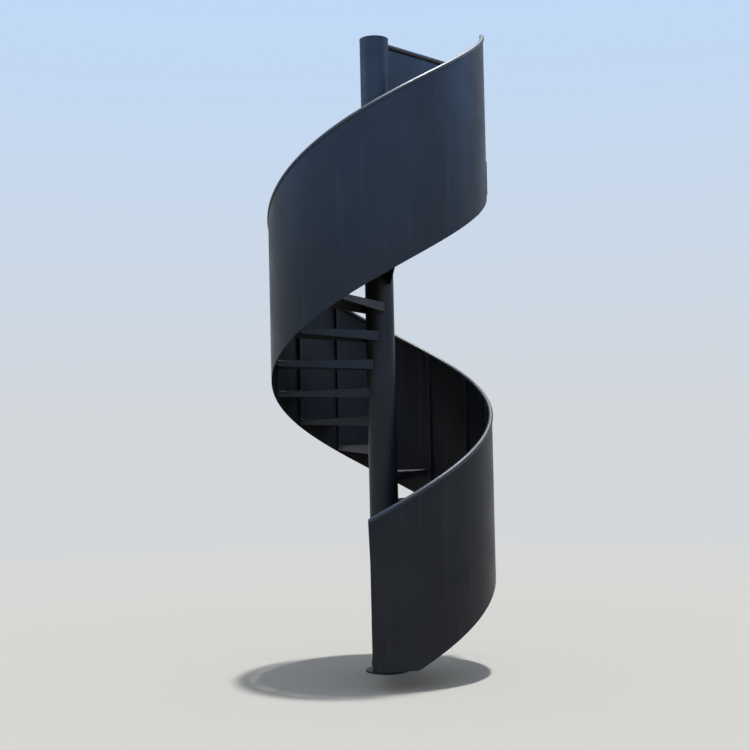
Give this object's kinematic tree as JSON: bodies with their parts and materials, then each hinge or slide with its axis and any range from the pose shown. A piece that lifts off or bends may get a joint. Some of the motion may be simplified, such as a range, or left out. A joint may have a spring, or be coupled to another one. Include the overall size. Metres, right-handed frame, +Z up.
{
  "type": "spiral staircase",
  "caption": "Outdoor spiral staircase of painted steel: folded trays round a tube column, wrapped in a continuous helical sheet guard with a round handrail.",
  "frame": {"origin": "centre of the round base plate's underside, on the ground", "axes": "+Z up along the column; +X towards the landing's straight edge; -Y towards the way in"},
  "size_m": [1.5631, 1.564, 4.4869],
  "materials": {
    "tray_paint": "satin charcoal black paint",
    "guard_paint": "satin charcoal black paint",
    "rail_paint": "satin charcoal black paint",
    "post_paint": "satin charcoal black paint",
    "column_paint": "satin charcoal black paint"
  },
  "bodies": {
    "root": {"base_plate": "column_paint", "column": "column_paint", "column_cap": "column_paint", "guard_panel_01": "guard_paint", "guard_panel_02": "guard_paint", "guard_panel_03": "guard_paint", "guard_panel_04": "guard_paint", "guard_panel_05": "guard_paint", "guard_panel_06": "guard_paint", "guard_panel_07": "guard_paint", "guard_panel_08": "guard_paint", "guard_panel_09": "guard_paint", "guard_panel_10": "guard_paint", "guard_panel_11": "guard_paint", "guard_panel_12": "guard_paint", "guard_panel_13": "guard_paint", "guard_panel_14": "guard_paint", "guard_panel_15": "guard_paint", "guard_panel_16": "guard_paint", "guard_panel_17": "guard_paint", "guard_posts": "post_paint", "handrail_1": "rail_paint", "handrail_2": "rail_paint", "handrail_3": "rail_paint", "landing": "tray_paint", "landing_fascia": "tray_paint", "landing_guard": "guard_paint", "landing_handrail": "rail_paint", "tread_01": "tray_paint", "tread_02": "tray_paint", "tread_03": "tray_paint", "tread_04": "tray_paint", "tread_05": "tray_paint", "tread_06": "tray_paint", "tread_07": "tray_paint", "tread_08": "tray_paint", "tread_09": "tray_paint", "tread_10": "tray_paint", "tread_11": "tray_paint", "tread_12": "tray_paint", "tread_13": "tray_paint", "tread_14": "tray_paint", "tread_15": "tray_paint", "tread_16": "tray_paint", "tread_17": "tray_paint"}
  },
  "joints": []
}
